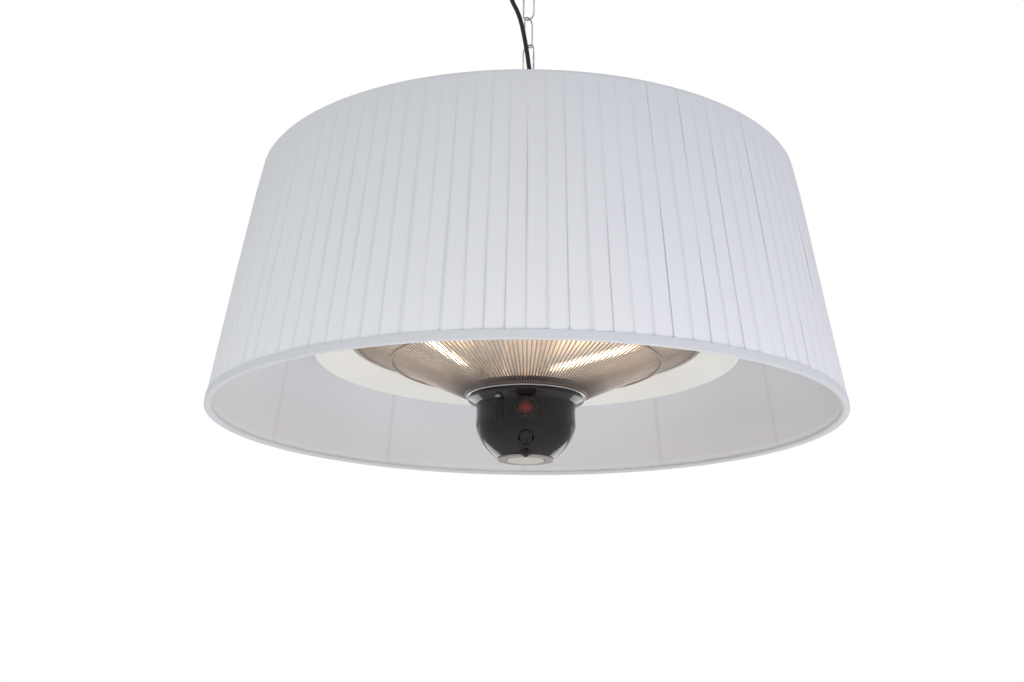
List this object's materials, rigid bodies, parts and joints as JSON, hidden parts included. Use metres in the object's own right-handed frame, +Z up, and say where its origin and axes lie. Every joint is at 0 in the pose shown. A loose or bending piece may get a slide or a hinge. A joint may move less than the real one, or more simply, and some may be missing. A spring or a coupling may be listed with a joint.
{
  "type": "hanging patio heater",
  "caption": "Halogen heater body with a round wire grille and a control hub, inside a pleated drum shade that hangs on a link chain with its supply cord.",
  "frame": {"origin": "centre of the ceiling plate's top face, where the heater is fixed to the ceiling", "axes": "+Z up towards the ceiling, -Y towards the front with the switch, +X to the right of it"},
  "size_m": [0.6738, 0.6738, 0.6325],
  "materials": {
    "zinc_steel": "bright zinc plating",
    "white_paint": "satin white powder coat",
    "cream_paint": "satin warm white powder coat",
    "black_gloss": "high gloss black",
    "black_plastic": "fine matt black",
    "cord_rubber": "smooth matt black",
    "polished_steel": "polished, lit orange by the tubes",
    "bronze_wire": "dark bronze grey, slightly glossy",
    "dark_steel": "matt dark",
    "ceramic_white": "unglazed",
    "quartz": "clear fused quartz",
    "filament": "glowing orange",
    "red_lamp": "translucent red, lit from inside",
    "clear_vinyl": "clear soft vinyl",
    "silver_trim": "bright",
    "frosted_plastic": "frosted translucent",
    "pale_grey": "satin pale grey",
    "circuit_board": "solder mask",
    "receiver_lens": "dark red translucent",
    "shade_fabric": "pleated matt textile, cool off-white",
    "liner_fabric": "smooth matt lining"
  },
  "bodies": {
    "root": {"ceiling_plate": "zinc_steel", "ceiling_eye_bolt": "zinc_steel", "canopy": "white_paint", "canopy_lock_collar": "zinc_steel", "canopy_cord_grip": "black_plastic", "terminal_block": "ceramic_white", "supply_lead": "cord_rubber"},
    "chain": {"chain_link_1": "zinc_steel", "chain_link_2": "zinc_steel", "chain_link_3": "zinc_steel", "chain_link_4": "zinc_steel", "chain_link_5": "zinc_steel", "chain_link_6": "zinc_steel", "chain_link_7": "zinc_steel", "chain_link_8": "zinc_steel", "chain_link_9": "zinc_steel", "cord_upper": "cord_rubber", "cord_lower": "cord_rubber"},
    "heater": {"heater_eye_bolt": "zinc_steel", "eye_bolt_nut": "zinc_steel", "shade_lock_nut": "zinc_steel", "top_cover": "white_paint", "heater_cord_grip": "black_plastic", "body_pan": "cream_paint", "center_column": "polished_steel", "reflector": "polished_steel", "heat_tube_1": "quartz", "heat_tube_2": "quartz", "heat_tube_3": "quartz", "heat_filament_1": "filament", "heat_filament_2": "filament", "heat_filament_3": "filament", "tube_cap_1a": "ceramic_white", "tube_cap_1b": "ceramic_white", "tube_cap_2a": "ceramic_white", "tube_cap_2b": "ceramic_white", "tube_cap_3a": "ceramic_white", "tube_cap_3b": "ceramic_white", "tube_bracket_1": "polished_steel", "tube_bracket_2": "polished_steel", "tube_bracket_3": "polished_steel", "hub_mount_plate": "dark_steel", "hub_trim_ring": "silver_trim", "grille": "bronze_wire", "grille_mid_ring": "bronze_wire", "hub_shell": "black_gloss", "hub_screw_1": "zinc_steel", "hub_screw_2": "zinc_steel", "switch_housing": "black_plastic", "switch_boot": "clear_vinyl", "control_board": "circuit_board", "receiver_lens": "receiver_lens", "bottom_bezel": "pale_grey", "bottom_disc": "frosted_plastic", "shade_fabric": "shade_fabric", "shade_frame": "white_paint", "shade_liner": "liner_fabric", "hem_tape": "shade_fabric"},
    "rocker": {"power_rocker": "red_lamp"},
    "button": {"mode_button": "black_gloss"}
  },
  "joints": [
    {"name": "chain_swing", "type": "hinge", "parent": "root", "child": "chain", "pos_m": [0, 0, -0.06965], "axis": [0.5878, 0.809, 0], "range_deg": [-20, 20], "deforming": ["cord_upper"]},
    {"name": "heater_swing", "type": "hinge", "parent": "chain", "child": "heater", "pos_m": [0, 0, -0.39215], "axis": [0.809, -0.5878, 0], "range_deg": [-12, 12], "deforming": ["cord_lower"]},
    {"name": "power_rocker", "type": "hinge", "parent": "heater", "child": "rocker", "pos_m": [0, -0.0544, -0.585], "axis": [1, 0, 0], "range_deg": [0, 16]},
    {"name": "mode_button", "type": "slide", "parent": "heater", "child": "button", "axis": [0, 0.8387, 0.5446], "range_m": [0, 0.0012], "stiffness_N_per_m": 500}
  ]
}
